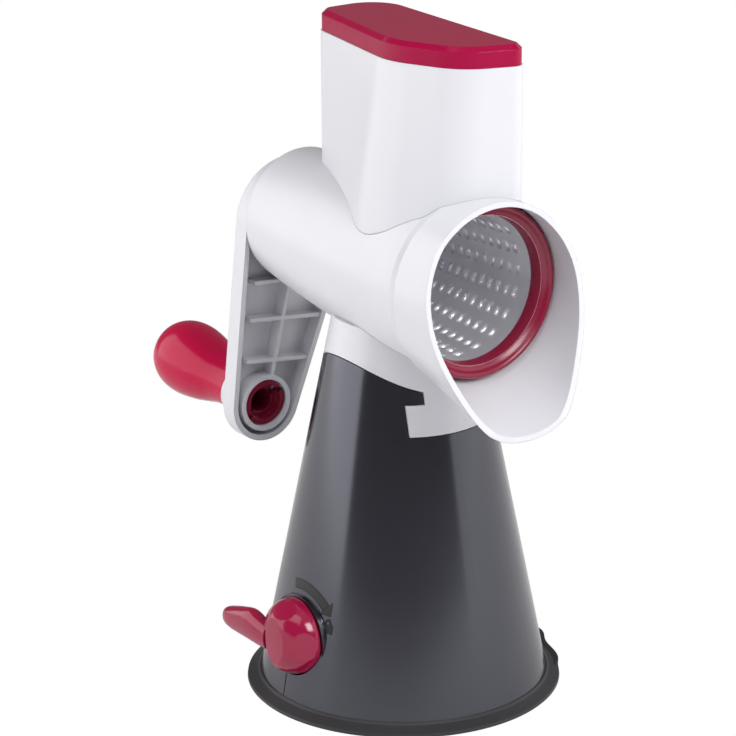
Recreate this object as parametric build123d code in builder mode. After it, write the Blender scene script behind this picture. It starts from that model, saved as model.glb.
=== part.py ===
from build123d import *

import math
import os

os.makedirs("parts", exist_ok=True)

# ---------------------------------------------------------------- stand
CONE_R0 = 58.0  # outer radius of the stand's cone carried down to the table
CONE_SLOPE = 0.2  # radius lost per millimetre of height
STAND_WALL = 3.0
CUP_R = 62.6  # rubber disc under the stand
CUP_T = 4.5
CUP_BOSS_R = 9.0
CUP_BOSS_H = 9.0
TAB_REACH = 6.0  # pull tab, beyond the disc
TAB_T = 2.6
SADDLE_R = 45.0  # the stand's top edge is cut by a cylinder about the drum's axis
LUG_HALF = 18.7  # T-shaped lug in the stand's front
LUG_NECK_HALF = 12.0
LUG_Z = 113.0
LUG_SHOULDER_Z = 125.0
LUG_T = 2.4
LUG_GAP = 0.3

# ------------------------------------------------------- plate in the stand
PLATE_T = 3.0
PLATE_GAP = 0.3
LEDGE_R = 37.0
LEDGE_T = 3.0
SCREW_CIRCLE_R = 41.0
SCREW_R = 1.9
SCREW_HEAD_R = 3.6
SCREW_HEAD_H = 2.2
SCREW_LEN = 9.0
SCREW_BOSS_R = 4.4
SCREW_BOSS_H = 8.0

# ------------------------------------------------------- suction lever
LEVER_Z = 29.5
SHAFT_R = 4.0
SHAFT_GAP = 0.06
SEAT_Y = 50.5  # flat seat of the knob, from the stand's axis
SEAT_T = 6.0
KNOB_R = 15.0
KNOB_FACE_R = 9.6
KNOB_H = 11.5
KNOB_GAP = 0.3
POCKET_GAP = 0.4
SEAT_RIM = 1.0
LEVER_LEN = 33.0
LEVER_W = 12.5
LEVER_T = 7.0
LEVER_LIFT = 7.0
CAM_LOW = 6.0
CAM_RISE = 5.0
CAM_T = 4.0
CAM_GAP = 0.4
BUSH_WALL = 2.5
CHEEK_Y = 9.0
CHEEK_T = 4.0
CHEEK_W = 14.0
STEM_R = 3.5
STEM_T = 7.0
STEM_RIM = 3.0
STEM_SIDE_GAP = 1.0
STEM_TOP = 12.0
STEM_CLEAR = 0.6
PLATE_TUBE_H = 5.0
PLATE_TUBE_R = 6.5
# the plate lies over the stem's yoke when the cam has lifted it
PLATE_Z = LEVER_Z + CAM_LOW + CAM_GAP + STEM_RIM + CAM_RISE + STEM_CLEAR

# ------------------------------------------------------- housing
AXIS_Z = 172.8  # height of the drum's axis
HOUSING_WALL = 2.3
REAR_X = -68.0
REAR_R = 27.2
REAR_LIFT = 3.5
REAR_WALL = 2.5
MID_X = -30.0
MID_R = 31.0
MID_LIFT = 1.5
FRONT_X = 25.0
FRONT_R = 33.4
THROAT_X = 38.0
THROAT_R = 34.2
SEAT_X = 43.5  # shoulder that the drum's ring stops against
BELL_X = 80.0
BELL_DROP = 51.5
BELL_SIDE_DROP = 30.0
BELL_SIDE_HALF = 29.2
BELL_WALL = 2.2
NECK_GAP = 0.4
SPIGOT_R = 26.7
SPIGOT_WALL = 2.7
SPIGOT_Z = 111.0
HOPPER_ROOT_Z = 180.0
HOPPER_SPLIT_Z = 212.0
HOPPER_TOP_Z = 258.0
HOPPER_WALL = 2.4
FEED_X0 = -44.0
FEED_X1 = 42.0
HOPPER_ROOT = [(-49.8, -3.8), (13.3, -32.1), (47.4, -15.1), (57.0, 16.5), (-49.8, 21.0)]
HOPPER_TOP = [(-42.0, -10.5), (20.0, -21.5), (48.5, -9.0), (57.0, 16.5), (-42.0, 21.0)]
HOPPER_RADII = [7.0, 30.0, 22.0, 5.0, 16.0]

# ------------------------------------------------------- drum
RING_GAP = 0.4
RING_R = 33.9
RING_X = 44.0
RING_LEN = 7.5
DRUM_X0 = -46.0
DRUM_X1 = 49.0
DRUM_R0 = 24.0
DRUM_R1 = 29.8
SHEET_T = 0.8
TOOTH_ROWS = 20
TOOTH_PITCH = 4.75
TOOTH_COUNT = 16
TOOTH_LEN = 4.8
TOOTH_W = 3.0
HUB_R = 9.0
HUB_T = 3.0
HUB_LEN = 12.0
HEX_R = 5.6
HEX_GAP = 0.15
HEX_LEN = 9.0

# ------------------------------------------------------- crank
CRANK_R = 7.0
CRANK_GAP = 0.06
CRANK_BUSH_R = 9.5
CRANK_BOSS_R = 12.5
CRANK_BOSS_LEN = 6.0
BUSH_FLANGE_T = 1.2
CLIP_T = 1.4
CLIP_R = 10.0
ARM_GAP = 1.4
ARM_T = 9.0
ARM_SHELL = 2.4
ARM_RIM = 2.2
ARM_HUB_R = 26.0
ARM_END_R = 15.8
ARM_LEN = 76.0
ARM_LEAN = 13.7  # degrees from hanging straight down, towards the lever's side
ARM_BOSS_R = 11.0
ARM_TIP_BOSS_R = 11.8
RIB_T = 1.6
RIB_DIP = 0.8
ARM_RIBS = [
    ((-22.0, -22.6), (9.0, -24.8)),
    ((-24.4, -37.9), (10.4, -41.5)),
    ((-26.6, -55.0), (4.6, -58.6)),
    ((-1.5, -10.5), (-14.5, -63.5)),
]
CAP_R = 10.0
CAP_T = 2.4

# ------------------------------------------------------- grip
SLEEVE_R = 11.0
SLEEVE_LEN = 8.0
SPIGOT_HOLE_R = 6.9
SPIGOT_LEN = 24.0
GRIP_GAP = 0.08
GRIP_END_GAP = 0.4
GRIP_TILT = 4.5  # degrees that the grip points up, away from the arm
GRIP_LEN = 52.0
GRIP_NECK_R = 10.8
GRIP_R = 14.3
GRIP_BULGE = 37.0  # from the grip's inner end to its widest place
GRIP_END_R = 9.0
GRIP_CAP_LEN = 2.0
GRIP_CAP_STEP = 0.5
SNAP_R = 9.4  # split head of the spigot, sunk in the arm's inner face
SNAP_GAP = 0.4
SNAP_DEPTH = 6.0
SNAP_SINK = 0.8  # below the arm's inner face
SNAP_FLOOR_GAP = 0.2
SNAP_WALL = 2.0
SNAP_SLOT = 2.6
SNAP_TURN = 35.0

# ------------------------------------------------------- pusher
PUSHER_GAP = 0.5
PUSHER_Z = 209.0
PUSHER_WALL = 2.0
PUSHER_CORNER = (-42.0, -7.4)
LID_T = 8.0
LID_INSET = 0.4
LID_BEVEL = 1.8


def cone_r(z):
    return CONE_R0 - CONE_SLOPE * z


def inset(points, radii, amount):
    """Corners and corner radii of a convex outline moved inwards."""
    moved = []
    for i, (x, y) in enumerate(points):
        ax, ay = points[i - 1]
        bx, by = points[(i + 1) % len(points)]
        ux, uy = (x - ax) / math.hypot(x - ax, y - ay), (y - ay) / math.hypot(x - ax, y - ay)
        vx, vy = (bx - x) / math.hypot(bx - x, by - y), (by - y) / math.hypot(bx - x, by - y)
        k = amount / (1 + ux * vx + uy * vy)
        moved.append((x + k * (-uy - vy), y + k * (ux + vx)))
    return moved, [r - amount for r in radii]


def outline(points, radii):
    """Closed outline with a round corner at each point."""
    count = len(points)
    start = []
    end = []
    for i, (x, y) in enumerate(points):
        a = Vector(*points[i - 1]) - Vector(x, y)
        b = Vector(*points[(i + 1) % count]) - Vector(x, y)
        half = math.radians(a.get_angle(b)) / 2
        reach = radii[i] / math.tan(half)
        start.append(Vector(x, y) + a.normalized() * reach)
        end.append(Vector(x, y) + b.normalized() * reach)
    for i in range(count):
        Line(end[i - 1], start[i])
        RadiusArc(start[i], end[i], -radii[i])


axle = Plane((0, 0, AXIS_Z), x_dir=(0, 1, 0), z_dir=(1, 0, 0))
lever_plane = Plane((0, 0, LEVER_Z), x_dir=(1, 0, 0), z_dir=(0, -1, 0))
drum_axis = Axis((0, 0, AXIS_Z), (1, 0, 0))
bell_r = RING_R + RING_GAP + BELL_WALL

# ================================================================ stand
ledge_z = PLATE_Z + PLATE_T
with BuildPart() as stand_shell:
    with BuildSketch(Plane.XZ):
        with BuildLine():
            Polyline(
                (cone_r(ledge_z), ledge_z),
                (cone_r(AXIS_Z - 25), AXIS_Z - 25),
                (cone_r(AXIS_Z - 25) - STAND_WALL, AXIS_Z - 25),
                (cone_r(ledge_z + LEDGE_T) - STAND_WALL, ledge_z + LEDGE_T),
                (LEDGE_R, ledge_z + LEDGE_T),
                (LEDGE_R, ledge_z),
                close=True,
            )
        make_face()
    revolve(axis=Axis.Z)
    # screw bosses on the ledge
    with BuildSketch(Plane.XY.offset(ledge_z)):
        with PolarLocations(SCREW_CIRCLE_R, 3, start_angle=90):
            Circle(SCREW_BOSS_R)
    extrude(amount=SCREW_BOSS_H)
    # saddle edge under the drum's housing
    with BuildSketch(axle.offset(-80)):
        Circle(SADDLE_R)
    extrude(amount=160, mode=Mode.SUBTRACT)
    # front slot for the lug
    with BuildSketch(Plane.YZ):
        with BuildLine():
            Polyline(
                (-LUG_HALF - LUG_GAP, LUG_Z - LUG_GAP),
                (LUG_HALF + LUG_GAP, LUG_Z - LUG_GAP),
                (LUG_HALF + LUG_GAP, LUG_SHOULDER_Z + LUG_GAP),
                (LUG_NECK_HALF + LUG_GAP, LUG_SHOULDER_Z + LUG_GAP),
                (LUG_NECK_HALF + LUG_GAP, AXIS_Z),
                (-LUG_NECK_HALF - LUG_GAP, AXIS_Z),
                (-LUG_NECK_HALF - LUG_GAP, LUG_SHOULDER_Z + LUG_GAP),
                (-LUG_HALF - LUG_GAP, LUG_SHOULDER_Z + LUG_GAP),
                close=True,
            )
        make_face()
    extrude(amount=CUP_R, mode=Mode.SUBTRACT)
    with BuildSketch(Plane.XY.offset(PLATE_Z)):
        with PolarLocations(SCREW_CIRCLE_R, 3, start_angle=90):
            Circle(SCREW_R)
    extrude(amount=SCREW_LEN, mode=Mode.SUBTRACT)
stand_shell.part.label = "stand_shell"

with BuildPart() as stand_foot:
    # the cone below the plate, moulded on to the part above
    with BuildSketch(Plane.XZ):
        with BuildLine():
            Polyline(
                (cone_r(CUP_T), CUP_T),
                (cone_r(ledge_z), ledge_z),
                (cone_r(ledge_z) - STAND_WALL, ledge_z),
                (cone_r(CUP_T) - STAND_WALL, CUP_T),
                close=True,
            )
        make_face()
    revolve(axis=Axis.Z)
    # pocket of the knob
    with BuildSketch(lever_plane.offset(SEAT_Y)):
        Circle(KNOB_R + POCKET_GAP)
    extrude(amount=KNOB_H, mode=Mode.SUBTRACT)
    with BuildSketch(lever_plane.offset(SEAT_Y - SEAT_T)):
        Circle(KNOB_R + POCKET_GAP + SEAT_RIM)
    extrude(amount=SEAT_T, mode=Mode.SUBTRACT)
stand_foot.part.label = "stand_foot"

with BuildPart() as knob_seat:
    with BuildSketch(lever_plane.offset(SEAT_Y - SEAT_T)):
        Circle(KNOB_R + POCKET_GAP + SEAT_RIM)
        Circle(SHAFT_R + SHAFT_GAP + BUSH_WALL, mode=Mode.SUBTRACT)
    extrude(amount=SEAT_T)
knob_seat.part.label = "knob_seat"

with BuildPart() as suction_cup:
    with BuildSketch(Plane.XZ):
        with BuildLine():
            Polyline(
                (0, 0),
                (CUP_R - 0.6, 0),
                (CUP_R, 0.6),
                (CUP_R - 0.2, 1.8),
                (cone_r(CUP_T) + 1.4, CUP_T - 0.8),
                (cone_r(CUP_T) + 0.4, CUP_T),
                (CUP_BOSS_R, CUP_T),
                (CUP_BOSS_R, CUP_BOSS_H + CUP_T),
                (0, CUP_BOSS_H + CUP_T),
                close=True,
            )
        make_face()
    revolve(axis=Axis.Z)
    # pull tab, drawn out of the disc's edge
    with BuildSketch(Plane.XY):
        with BuildLine():
            reach = [(-34, -0.2), (-20, 0.14), (-10.5, 0.3), (-6, 0.72), (0, 1.0), (6, 0.72), (10.5, 0.3), (20, 0.14), (34, -0.2)]
            edge = Spline(
                *[
                    (
                        (CUP_R + TAB_REACH * k) * math.sin(math.radians(a)),
                        (CUP_R + TAB_REACH * k) * math.cos(math.radians(a)),
                    )
                    for a, k in reach
                ]
            )
            Line(edge @ 1, edge @ 0)
        make_face()
    extrude(amount=TAB_T)
    with BuildSketch(Plane.XY.offset(CUP_T)):
        Circle(STEM_R)
    extrude(amount=CUP_BOSS_H, mode=Mode.SUBTRACT)
suction_cup.part.label = "suction_cup"

with BuildPart() as bearing_plate:
    with BuildSketch(Plane.XY.offset(PLATE_Z)):
        Circle(cone_r(PLATE_Z + PLATE_T) - STAND_WALL - PLATE_GAP)
        # flat beside the knob's seat
        with Locations((0, PLATE_GAP + SEAT_T - SEAT_Y)):
            Rectangle(2 * CUP_R, CUP_R, align=(Align.CENTER, Align.MAX), mode=Mode.SUBTRACT)
    extrude(amount=PLATE_T)
    with BuildSketch(Plane.XY.offset(PLATE_Z + PLATE_T)):
        Circle(PLATE_TUBE_R)
    extrude(amount=PLATE_TUBE_H)
    # two cheeks that carry the cam shaft
    for side in (-1, 1):
        with BuildSketch(lever_plane.offset(side * CHEEK_Y - CHEEK_T / 2)):
            with BuildLine():
                Polyline(
                    (-CHEEK_W / 2, PLATE_Z - LEVER_Z),
                    (-CHEEK_W / 2, 0),
                    (-CHEEK_W / 4, -CHEEK_W / 2),
                    (CHEEK_W / 4, -CHEEK_W / 2),
                    (CHEEK_W / 2, 0),
                    (CHEEK_W / 2, PLATE_Z - LEVER_Z),
                    close=True,
                )
            make_face()
        extrude(amount=CHEEK_T)
    with BuildSketch(lever_plane.offset(-CHEEK_Y - CHEEK_T / 2)):
        Circle(SHAFT_R + SHAFT_GAP)
    extrude(amount=2 * CHEEK_Y + CHEEK_T, mode=Mode.SUBTRACT)
    with BuildSketch(Plane.XY.offset(PLATE_Z)):
        Circle(STEM_R + SHAFT_GAP)
        with PolarLocations(SCREW_CIRCLE_R, 3, start_angle=90):
            Circle(SCREW_R)
    extrude(amount=PLATE_T + PLATE_TUBE_H, mode=Mode.SUBTRACT)
bearing_plate.part.label = "bearing_plate"

with BuildPart() as plate_screws:
    with PolarLocations(SCREW_CIRCLE_R, 3, start_angle=90):
        with Locations((0, 0, PLATE_Z)):
            Cylinder(SCREW_R, SCREW_LEN, align=(Align.CENTER, Align.CENTER, Align.MIN))
        with Locations((0, 0, PLATE_Z - SCREW_HEAD_H)):
            Cylinder(SCREW_HEAD_R, SCREW_HEAD_H, align=(Align.CENTER, Align.CENTER, Align.MIN))
plate_screws.part.label = "plate_screws"

with BuildPart() as lever_bush:
    with BuildSketch(lever_plane.offset(SEAT_Y - SEAT_T)):
        Circle(SHAFT_R + SHAFT_GAP + BUSH_WALL)
        Circle(SHAFT_R + SHAFT_GAP, mode=Mode.SUBTRACT)
    extrude(amount=SEAT_T)
lever_bush.part.label = "lever_bush"

with BuildPart() as lever_knob:
    with BuildSketch(lever_plane.offset(SEAT_Y + KNOB_GAP)):
        Circle(KNOB_R)
    with BuildSketch(lever_plane.offset(SEAT_Y + KNOB_GAP + KNOB_H)):
        Circle(KNOB_FACE_R)
    loft()
    with BuildSketch(lever_plane.offset(SEAT_Y + KNOB_GAP + LEVER_LIFT)):
        with Locations((-(LEVER_LEN - LEVER_W / 2) / 2, 0)):
            SlotCenterToCenter(LEVER_LEN - LEVER_W / 2, LEVER_W)
    extrude(amount=LEVER_T)
    fillet(lever_knob.faces().sort_by(Axis.Y)[0].edges(), radius=1.6)
    with BuildSketch(lever_plane.offset(SEAT_Y + KNOB_GAP)):
        Circle(SHAFT_R)
    extrude(amount=KNOB_H - 2, mode=Mode.SUBTRACT)
lever_knob.part.label = "lever_knob"

with BuildPart() as cam_shaft:
    with BuildSketch(lever_plane.offset(-CHEEK_Y - CHEEK_T / 2)):
        Circle(SHAFT_R)
    extrude(amount=CHEEK_Y + CHEEK_T / 2 + SEAT_Y + KNOB_GAP + KNOB_H - 2)
    # heart cam whose radius grows evenly over half a turn
    with BuildSketch(lever_plane.offset(-CAM_T / 2)):
        with BuildLine():
            right = [
                (
                    (CAM_LOW + CAM_RISE * k / 4) * math.sin(math.pi * k / 4),
                    (CAM_LOW + CAM_RISE * k / 4) * math.cos(math.pi * k / 4),
                )
                for k in range(5)
            ]
            Spline(*right)
            Spline(*[(-x, y) for x, y in right])
        make_face()
    extrude(amount=CAM_T)
cam_shaft.part.label = "cam_shaft"

cam_high = CAM_LOW + CAM_RISE
stem_half = cam_high + STEM_SIDE_GAP
with BuildPart() as suction_stem:
    with BuildSketch(lever_plane.offset(-STEM_T / 2)):
        with BuildLine():
            Polyline(
                (-stem_half - STEM_RIM, -cam_high - CAM_GAP - STEM_RIM),
                (stem_half + STEM_RIM, -cam_high - CAM_GAP - STEM_RIM),
                (stem_half + STEM_RIM, CAM_LOW + CAM_GAP + STEM_RIM),
                (-stem_half - STEM_RIM, CAM_LOW + CAM_GAP + STEM_RIM),
                close=True,
            )
        make_face()
        with BuildLine():
            Polyline(
                (-stem_half, -cam_high - CAM_GAP),
                (stem_half, -cam_high - CAM_GAP),
                (stem_half, CAM_LOW + CAM_GAP),
                (-stem_half, CAM_LOW + CAM_GAP),
                close=True,
            )
        make_face(mode=Mode.SUBTRACT)
    extrude(amount=STEM_T)
    with BuildSketch(Plane.XY.offset(CUP_T)):
        Circle(STEM_R)
    extrude(amount=LEVER_Z - cam_high - CAM_GAP - STEM_RIM - CUP_T)
    with BuildSketch(Plane.XY.offset(LEVER_Z + CAM_LOW + CAM_GAP + STEM_RIM)):
        Circle(STEM_R)
    extrude(amount=STEM_TOP)
suction_stem.part.label = "suction_stem"

# ================================================================ housing
hopper_root_in, hopper_radii_in = inset(HOPPER_ROOT, HOPPER_RADII, HOPPER_WALL)
hopper_top_in = inset(HOPPER_TOP, HOPPER_RADII, HOPPER_WALL)[0]

with BuildPart() as housing:
    # barrel, rising a little towards its rear end
    with BuildSketch(axle.offset(REAR_X)):
        with Locations((0, REAR_LIFT)):
            Circle(REAR_R)
    with BuildSketch(axle.offset(MID_X)):
        with Locations((0, MID_LIFT)):
            Circle(MID_R)
    with BuildSketch(axle.offset(FRONT_X)):
        Circle(FRONT_R)
    loft()
    with BuildSketch(axle.offset(FRONT_X)):
        Circle(FRONT_R)
    with BuildSketch(axle.offset(THROAT_X)):
        Circle(THROAT_R)
    with BuildSketch(axle.offset(SEAT_X)):
        Circle(bell_r)
    loft(ruled=True)
    barrel_block = housing.part
    # inside of the barrel
    with BuildSketch(axle.offset(REAR_X + REAR_WALL)):
        with Locations((0, REAR_LIFT - 0.1)):
            Circle(REAR_R - HOUSING_WALL)
    with BuildSketch(axle.offset(MID_X)):
        with Locations((0, MID_LIFT)):
            Circle(MID_R - HOUSING_WALL)
    with BuildSketch(axle.offset(FRONT_X)):
        Circle(FRONT_R - HOUSING_WALL)
    loft(mode=Mode.SUBTRACT)
    with BuildSketch(axle.offset(FRONT_X)):
        Circle(FRONT_R - HOUSING_WALL)
    with BuildSketch(axle.offset(SEAT_X)):
        Circle(THROAT_R - HOUSING_WALL)
    loft(mode=Mode.SUBTRACT)
    # feed opening under the hopper
    with BuildSketch(Plane.XY.offset(HOPPER_ROOT_Z)):
        with BuildLine():
            outline(hopper_root_in, hopper_radii_in)
        make_face()
    with BuildSketch(Plane.XY.offset(HOPPER_TOP_Z)):
        with BuildLine():
            outline(hopper_top_in, hopper_radii_in)
        make_face()
    hopper_hollow = loft(ruled=True, mode=Mode.PRIVATE)
    with BuildSketch(Plane.XY.offset(HOPPER_ROOT_Z)):
        with Locations(((FEED_X0 + FEED_X1) / 2, 0)):
            Rectangle(FEED_X1 - FEED_X0, 160)
    feed_block = extrude(amount=HOPPER_SPLIT_Z - HOPPER_ROOT_Z, mode=Mode.PRIVATE)
    add(hopper_hollow & feed_block, mode=Mode.SUBTRACT)
    # boss of the crank's bearing
    with BuildSketch(axle.offset(REAR_X)):
        Circle(CRANK_BOSS_R)
    extrude(amount=CRANK_BOSS_LEN)
    with BuildSketch(axle.offset(REAR_X)):
        Circle(CRANK_BUSH_R)
    extrude(amount=CRANK_BOSS_LEN, mode=Mode.SUBTRACT)
housing.part.label = "housing"

with BuildPart() as bell:
    # drawn down and forward into a spout
    with BuildSketch(axle.offset(SEAT_X)):
        with BuildLine():
            CenterArc((0, 0), bell_r, 0, 180)
            CenterArc((0, 0), bell_r, 180, 90)
            CenterArc((0, 0), bell_r, 270, 90)
        make_face()
    with BuildSketch(axle.offset(BELL_X)):
        with BuildLine():
            CenterArc((0, 0), bell_r, 0, 180)
            Spline(
                (-bell_r, 0),
                (-BELL_SIDE_HALF, -BELL_SIDE_DROP),
                (0, -BELL_DROP),
                tangents=((0, -1), (1, 0)),
            )
            Spline(
                (0, -BELL_DROP),
                (BELL_SIDE_HALF, -BELL_SIDE_DROP),
                (bell_r, 0),
                tangents=((1, 0), (0, 1)),
            )
        make_face()
    loft(ruled=True)
    # the spout's rim, back at the top and forward at the bottom
    with BuildSketch(Plane.XZ):
        with BuildLine():
            rim = Spline(
                (59.6, AXIS_Z + 24),
                (62.4, AXIS_Z + 10),
                (66.9, AXIS_Z - 10),
                (73.1, AXIS_Z - 30),
                (78.6, AXIS_Z - 45),
            )
            Polyline(
                rim @ 1,
                (78.9, AXIS_Z - 60),
                (90, AXIS_Z - 60),
                (90, AXIS_Z + bell_r + 2),
                (59.4, AXIS_Z + bell_r + 2),
                rim @ 0,
            )
        make_face()
    extrude(amount=60, both=True, mode=Mode.SUBTRACT)
    bell_block = bell.part
    with BuildSketch(axle.offset(SEAT_X)):
        with BuildLine():
            CenterArc((0, 0), bell_r - BELL_WALL, 0, 180)
            CenterArc((0, 0), bell_r - BELL_WALL, 180, 90)
            CenterArc((0, 0), bell_r - BELL_WALL, 270, 90)
        make_face()
    with BuildSketch(axle.offset(BELL_X)):
        with BuildLine():
            CenterArc((0, 0), bell_r - BELL_WALL, 0, 180)
            Spline(
                (BELL_WALL - bell_r, 0),
                (BELL_WALL * 0.9 - BELL_SIDE_HALF, BELL_WALL * 0.7 - BELL_SIDE_DROP),
                (0, BELL_WALL - BELL_DROP),
                tangents=((0, -1), (1, 0)),
            )
            Spline(
                (0, BELL_WALL - BELL_DROP),
                (BELL_SIDE_HALF - BELL_WALL * 0.9, BELL_WALL * 0.7 - BELL_SIDE_DROP),
                (bell_r - BELL_WALL, 0),
                tangents=((1, 0), (0, 1)),
            )
        make_face()
    loft(ruled=True, mode=Mode.SUBTRACT)
bell.part.label = "bell"

with BuildPart() as hopper:
    with BuildSketch(Plane.XY.offset(HOPPER_ROOT_Z)):
        with BuildLine():
            outline(HOPPER_ROOT, HOPPER_RADII)
        make_face()
    with BuildSketch(Plane.XY.offset(HOPPER_TOP_Z)):
        with BuildLine():
            outline(HOPPER_TOP, HOPPER_RADII)
        make_face()
    loft(ruled=True)
    # full inside above, a narrower feed opening below
    with BuildSketch(Plane.XY.offset(HOPPER_SPLIT_Z)):
        Rectangle(160, 160)
    upper_block = extrude(amount=HOPPER_TOP_Z - HOPPER_SPLIT_Z, mode=Mode.PRIVATE)
    add(hopper_hollow & upper_block, mode=Mode.SUBTRACT)
    add(hopper_hollow & feed_block, mode=Mode.SUBTRACT)
    add(barrel_block, mode=Mode.SUBTRACT)
    add(bell_block, mode=Mode.SUBTRACT)
    # nothing hangs into the barrel
    with BuildSketch(axle.offset(REAR_X)):
        Circle(FRONT_R - 6)
    extrude(amount=SEAT_X - REAR_X, mode=Mode.SUBTRACT)
hopper.part.label = "hopper"

with BuildPart() as neck:
    # carries on the stand's cone above the saddle edge
    with BuildSketch(Plane.XZ):
        with BuildLine():
            Polyline(
                (0, AXIS_Z - SADDLE_R),
                (cone_r(AXIS_Z - SADDLE_R), AXIS_Z - SADDLE_R),
                (cone_r(AXIS_Z - 20), AXIS_Z - 20),
                (0, AXIS_Z - 20),
                close=True,
            )
        make_face()
    neck_cone = revolve(axis=Axis.Z, mode=Mode.PRIVATE)
    with BuildSketch(axle.offset(-80)):
        Circle(SADDLE_R - NECK_GAP)
    saddle = extrude(amount=160, mode=Mode.PRIVATE)
    add(neck_cone & saddle)
    with BuildSketch(Plane.XY.offset(SPIGOT_Z)):
        Circle(SPIGOT_R)
    extrude(amount=AXIS_Z - 25 - SPIGOT_Z)
    # lug in the stand's front slot
    with BuildSketch(Plane.XZ):
        with BuildLine():
            Polyline(
                (cone_r(LUG_Z), LUG_Z),
                (cone_r(AXIS_Z - SADDLE_R + 2), AXIS_Z - SADDLE_R + 2),
                (SPIGOT_R - SPIGOT_WALL, AXIS_Z - SADDLE_R + 2),
                (SPIGOT_R - SPIGOT_WALL, LUG_SHOULDER_Z),
                (cone_r(LUG_SHOULDER_Z) - LUG_T, LUG_SHOULDER_Z - 3),
                (cone_r(LUG_Z) - LUG_T, LUG_Z),
                close=True,
            )
        make_face()
    lug_ring = revolve(axis=Axis.Z, mode=Mode.PRIVATE)
    with BuildSketch(Plane.YZ):
        with BuildLine():
            Polyline(
                (-LUG_HALF, LUG_Z),
                (LUG_HALF, LUG_Z),
                (LUG_HALF, LUG_SHOULDER_Z),
                (LUG_NECK_HALF, LUG_SHOULDER_Z),
                (LUG_NECK_HALF, AXIS_Z),
                (-LUG_NECK_HALF, AXIS_Z),
                (-LUG_NECK_HALF, LUG_SHOULDER_Z),
                (-LUG_HALF, LUG_SHOULDER_Z),
                close=True,
            )
        make_face()
    lug_block = extrude(amount=CUP_R, mode=Mode.PRIVATE)
    add(lug_ring & lug_block)
    # bore of the spigot, and the barrel that rests on the neck
    with BuildSketch(Plane.XY.offset(SPIGOT_Z)):
        Circle(SPIGOT_R - SPIGOT_WALL)
    extrude(amount=AXIS_Z - SPIGOT_Z, mode=Mode.SUBTRACT)
    add(barrel_block, mode=Mode.SUBTRACT)
neck.part.label = "neck"

with BuildPart() as crank_bush:
    with BuildSketch(axle.offset(REAR_X)):
        Circle(CRANK_BUSH_R)
    extrude(amount=CRANK_BOSS_LEN)
    with BuildSketch(axle.offset(REAR_X + CRANK_BOSS_LEN)):
        Circle(CRANK_BOSS_R)
    extrude(amount=BUSH_FLANGE_T)
    with BuildSketch(axle.offset(REAR_X)):
        Circle(CRANK_R + CRANK_GAP)
    extrude(amount=CRANK_BOSS_LEN + BUSH_FLANGE_T, mode=Mode.SUBTRACT)
crank_bush.part.label = "crank_bush"

# ================================================================ drum
drum_slope = (DRUM_R1 - DRUM_R0) / (DRUM_X1 - DRUM_X0)


def drum_r(x):
    return DRUM_R0 + drum_slope * (x - DRUM_X0)


with BuildPart() as drum_sheet:
    with BuildSketch(Plane.XZ):
        with BuildLine():
            Polyline(
                (DRUM_X0, AXIS_Z + drum_r(DRUM_X0)),
                (DRUM_X1, AXIS_Z + drum_r(DRUM_X1)),
                (DRUM_X1, AXIS_Z + drum_r(DRUM_X1) - SHEET_T),
                (DRUM_X0, AXIS_Z + drum_r(DRUM_X0) - SHEET_T),
                close=True,
            )
        make_face()
    revolve(axis=drum_axis)
    # a slot behind each raised tooth
    for row in range(TOOTH_ROWS):
        turn = 2 * math.pi * row / TOOTH_ROWS
        radial = Plane((0, 0, AXIS_Z), x_dir=(1, 0, 0), z_dir=(0, math.sin(turn), math.cos(turn)))
        with BuildSketch(radial):
            with GridLocations(TOOTH_PITCH, 0, TOOTH_COUNT, 1):
                SlotOverall(TOOTH_LEN, TOOTH_W, rotation=90)
        extrude(amount=DRUM_R1 + 5, mode=Mode.SUBTRACT)
drum_sheet.part.label = "drum_sheet"

with BuildPart() as drum_ring:
    with BuildSketch(Plane.XZ):
        with BuildLine():
            Polyline(
                (RING_X, AXIS_Z + RING_R),
                (RING_X + RING_LEN - 1, AXIS_Z + RING_R),
                (RING_X + RING_LEN, AXIS_Z + RING_R - 1),
                (RING_X + RING_LEN, AXIS_Z + drum_r(DRUM_X1) - SHEET_T),
                (DRUM_X1, AXIS_Z + drum_r(DRUM_X1) - SHEET_T),
                (DRUM_X1, AXIS_Z + drum_r(DRUM_X1)),
                (RING_X, AXIS_Z + drum_r(RING_X)),
                close=True,
            )
        make_face()
    revolve(axis=drum_axis)
drum_ring.part.label = "drum_ring"

with BuildPart() as drum_hub:
    with BuildSketch(Plane.XZ):
        with BuildLine():
            Polyline(
                (DRUM_X0 - HUB_LEN, AXIS_Z),
                (DRUM_X0 - HUB_LEN, AXIS_Z + HUB_R),
                (DRUM_X0, AXIS_Z + HUB_R),
                (DRUM_X0, AXIS_Z + drum_r(DRUM_X0) - SHEET_T),
                (DRUM_X0 + HUB_T, AXIS_Z + drum_r(DRUM_X0 + HUB_T) - SHEET_T),
                (DRUM_X0 + HUB_T, AXIS_Z),
                close=True,
            )
        make_face()
    revolve(axis=drum_axis)
    with BuildSketch(axle.offset(DRUM_X0 - HUB_LEN)):
        RegularPolygon(HEX_R + HEX_GAP, 6)
    extrude(amount=HEX_LEN + 1, mode=Mode.SUBTRACT)
drum_hub.part.label = "drum_hub"

# ================================================================ crank
arm_x = REAR_X - ARM_GAP
tip_y = -ARM_LEN * math.sin(math.radians(ARM_LEAN))
tip_z = -ARM_LEN * math.cos(math.radians(ARM_LEAN))
tilt_cos = math.cos(math.radians(GRIP_TILT))
tilt_sin = math.sin(math.radians(GRIP_TILT))
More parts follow.
